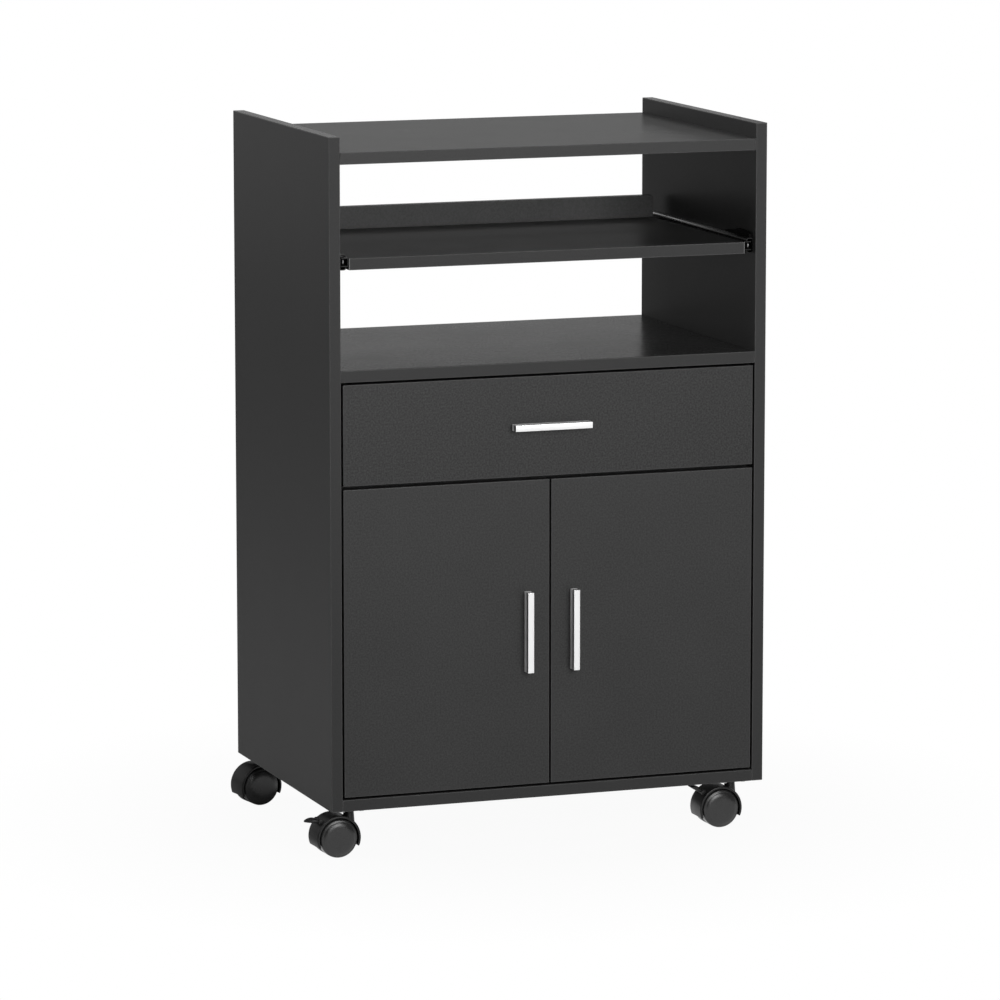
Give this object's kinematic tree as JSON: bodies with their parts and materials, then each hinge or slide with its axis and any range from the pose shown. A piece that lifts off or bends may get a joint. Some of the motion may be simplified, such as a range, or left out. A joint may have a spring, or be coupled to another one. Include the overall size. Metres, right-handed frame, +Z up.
{
  "type": "kitchen cart",
  "caption": "Dark kitchen cart on twin-wheel casters, with a lipped top, pull-out shelf, open shelf, drawer and double-door cupboard with bar handles.",
  "frame": {"origin": "middle of the carcase's plan, on the floor under the wheels", "axes": "+Z up, -Y towards the fronts, +X to the right seen from the front"},
  "size_m": [0.6176, 0.4145, 0.92],
  "materials": {
    "dark_board": "matte charcoal foil with a fine pebble grain",
    "front_board": "matte charcoal foil with a fine pebble grain",
    "thin_board": "matte charcoal foil",
    "drawer_board": "matte charcoal foil",
    "handle_metal": "bright satin",
    "slide_metal": "black satin",
    "ball_cage_metal": "bright",
    "hinge_metal": "nickel plated",
    "fastener_metal": "zinc plated",
    "dowel_wood": "bare wood",
    "caster_metal": "zinc plated",
    "caster_plastic": "black satin",
    "wheel_plastic": "black satin"
  },
  "bodies": {
    "carcase": {"left_side_panel": "dark_board", "right_side_panel": "dark_board", "top_board": "dark_board", "open_shelf_board": "dark_board", "divider_board": "dark_board", "bottom_board": "dark_board", "back_panel": "thin_board", "cam_locks": "fastener_metal", "cam_bolts": "fastener_metal", "wood_dowels": "dowel_wood", "shelf_slide_rails": "slide_metal", "drawer_slide_rails": "slide_metal", "hardware_screws": "fastener_metal", "hinge_plates": "hinge_metal", "hinge_arms": "hinge_metal", "hinge_pins": "hinge_metal", "caster_plates": "caster_metal", "caster_screws": "fastener_metal"},
    "shelf": {"pull_out_shelf": "dark_board", "shelf_back_strip": "dark_board", "shelf_slide_runners": "slide_metal", "shelf_screws": "fastener_metal"},
    "shelf_cages": {"shelf_ball_cages": "ball_cage_metal"},
    "drawer": {"drawer_front": "front_board", "drawer_left_side": "drawer_board", "drawer_right_side": "drawer_board", "drawer_back": "drawer_board", "drawer_bottom": "thin_board", "drawer_handle": "handle_metal", "drawer_slide_runners": "slide_metal", "drawer_screws": "fastener_metal", "drawer_cam_locks": "fastener_metal", "drawer_cam_bolts": "fastener_metal"},
    "drawer_cages": {"drawer_ball_cages": "ball_cage_metal"},
    "left_door": {"left_door": "front_board", "left_door_handle": "handle_metal", "left_hinge_cups": "hinge_metal", "left_door_screws": "fastener_metal"},
    "right_door": {"right_door": "front_board", "right_door_handle": "handle_metal", "right_hinge_cups": "hinge_metal", "right_door_screws": "fastener_metal"},
    "front_left_caster": {"front_left_hood": "caster_plastic", "front_left_axle": "caster_metal"},
    "front_left_near_wheel": {"front_left_near_wheel": "wheel_plastic"},
    "front_left_far_wheel": {"front_left_far_wheel": "wheel_plastic"},
    "front_left_brake_lever": {"front_left_brake_lever": "caster_plastic"},
    "front_right_caster": {"front_right_hood": "caster_plastic", "front_right_axle": "caster_metal"},
    "front_right_near_wheel": {"front_right_near_wheel": "wheel_plastic"},
    "front_right_far_wheel": {"front_right_far_wheel": "wheel_plastic"},
    "front_right_brake_lever": {"front_right_brake_lever": "caster_plastic"},
    "rear_left_caster": {"rear_left_hood": "caster_plastic", "rear_left_axle": "caster_metal"},
    "rear_left_near_wheel": {"rear_left_near_wheel": "wheel_plastic"},
    "rear_left_far_wheel": {"rear_left_far_wheel": "wheel_plastic"},
    "rear_right_caster": {"rear_right_hood": "caster_plastic", "rear_right_axle": "caster_metal"},
    "rear_right_near_wheel": {"rear_right_near_wheel": "wheel_plastic"},
    "rear_right_far_wheel": {"rear_right_far_wheel": "wheel_plastic"}
  },
  "joints": [
    {"name": "shelf_slide", "type": "slide", "parent": "carcase", "child": "shelf", "axis": [0, -1, 0], "range_m": [0, 0.259]},
    {"name": "shelf_cage_slide", "type": "slide", "parent": "carcase", "child": "shelf_cages", "axis": [0, -1, 0], "range_m": [0, 0.1295]},
    {"name": "drawer_slide", "type": "slide", "parent": "carcase", "child": "drawer", "axis": [0, -1, 0], "range_m": [0, 0.259]},
    {"name": "drawer_cage_slide", "type": "slide", "parent": "carcase", "child": "drawer_cages", "axis": [0, -1, 0], "range_m": [0, 0.1295]},
    {"name": "left_door_hinge", "type": "hinge", "parent": "carcase", "child": "left_door", "pos_m": [-0.2655, -0.193, 0.27775], "axis": [0, 0, -1], "range_deg": [0, 100]},
    {"name": "right_door_hinge", "type": "hinge", "parent": "carcase", "child": "right_door", "pos_m": [0.2655, -0.193, 0.27775], "axis": [0, 0, 1], "range_deg": [0, 100]},
    {"name": "front_left_swivel", "type": "hinge", "parent": "carcase", "child": "front_left_caster", "pos_m": [-0.262, -0.168, 0.0575], "axis": [0, 0, 1], "continuous": true},
    {"name": "front_left_near_wheel_spin", "type": "hinge", "parent": "front_left_caster", "child": "front_left_near_wheel", "pos_m": [-0.28098, -0.16883, 0.025], "axis": [-0.0436, 0.999, 0], "continuous": true},
    {"name": "front_left_far_wheel_spin", "type": "hinge", "parent": "front_left_caster", "child": "front_left_far_wheel", "pos_m": [-0.28098, -0.16883, 0.025], "axis": [-0.0436, 0.999, 0], "continuous": true},
    {"name": "front_left_brake_pivot", "type": "hinge", "parent": "front_left_caster", "child": "front_left_brake_lever", "pos_m": [-0.30253, -0.16977, 0.04657], "axis": [-0.0436, 0.999, 0], "range_deg": [0, 27]},
    {"name": "front_right_swivel", "type": "hinge", "parent": "carcase", "child": "front_right_caster", "pos_m": [0.262, -0.168, 0.0575], "axis": [0, 0, 1], "continuous": true},
    {"name": "front_right_near_wheel_spin", "type": "hinge", "parent": "front_right_caster", "child": "front_right_near_wheel", "pos_m": [0.243, -0.16833, 0.025], "axis": [-0.0175, 0.9998, 0], "continuous": true},
    {"name": "front_right_far_wheel_spin", "type": "hinge", "parent": "front_right_caster", "child": "front_right_far_wheel", "pos_m": [0.243, -0.16833, 0.025], "axis": [-0.0175, 0.9998, 0], "continuous": true},
    {"name": "front_right_brake_pivot", "type": "hinge", "parent": "front_right_caster", "child": "front_right_brake_lever", "pos_m": [0.22144, -0.16871, 0.04657], "axis": [-0.0175, 0.9998, 0], "range_deg": [-27, 0]},
    {"name": "rear_left_swivel", "type": "hinge", "parent": "carcase", "child": "rear_left_caster", "pos_m": [-0.262, 0.168, 0.0575], "axis": [0, 0, 1], "continuous": true},
    {"name": "rear_left_near_wheel_spin", "type": "hinge", "parent": "rear_left_caster", "child": "rear_left_near_wheel", "pos_m": [-0.28077, 0.16503, 0.025], "axis": [-0.1564, 0.9877, 0], "continuous": true},
    {"name": "rear_left_far_wheel_spin", "type": "hinge", "parent": "rear_left_caster", "child": "rear_left_far_wheel", "pos_m": [-0.28077, 0.16503, 0.025], "axis": [-0.1564, 0.9877, 0], "continuous": true},
    {"name": "rear_right_swivel", "type": "hinge", "parent": "carcase", "child": "rear_right_caster", "pos_m": [0.262, 0.168, 0.0575], "axis": [0, 0, 1], "continuous": true},
    {"name": "rear_right_near_wheel_spin", "type": "hinge", "parent": "rear_right_caster", "child": "rear_right_near_wheel", "pos_m": [0.24318, 0.16536, 0.025], "axis": [-0.1392, 0.9903, 0], "continuous": true},
    {"name": "rear_right_far_wheel_spin", "type": "hinge", "parent": "rear_right_caster", "child": "rear_right_far_wheel", "pos_m": [0.24318, 0.16536, 0.025], "axis": [-0.1392, 0.9903, 0], "continuous": true}
  ],
  "couplings": [
    {"joint": "shelf_cage_slide", "follows": "shelf_slide", "ratio": 0.5},
    {"joint": "drawer_cage_slide", "follows": "drawer_slide", "ratio": 0.5}
  ]
}
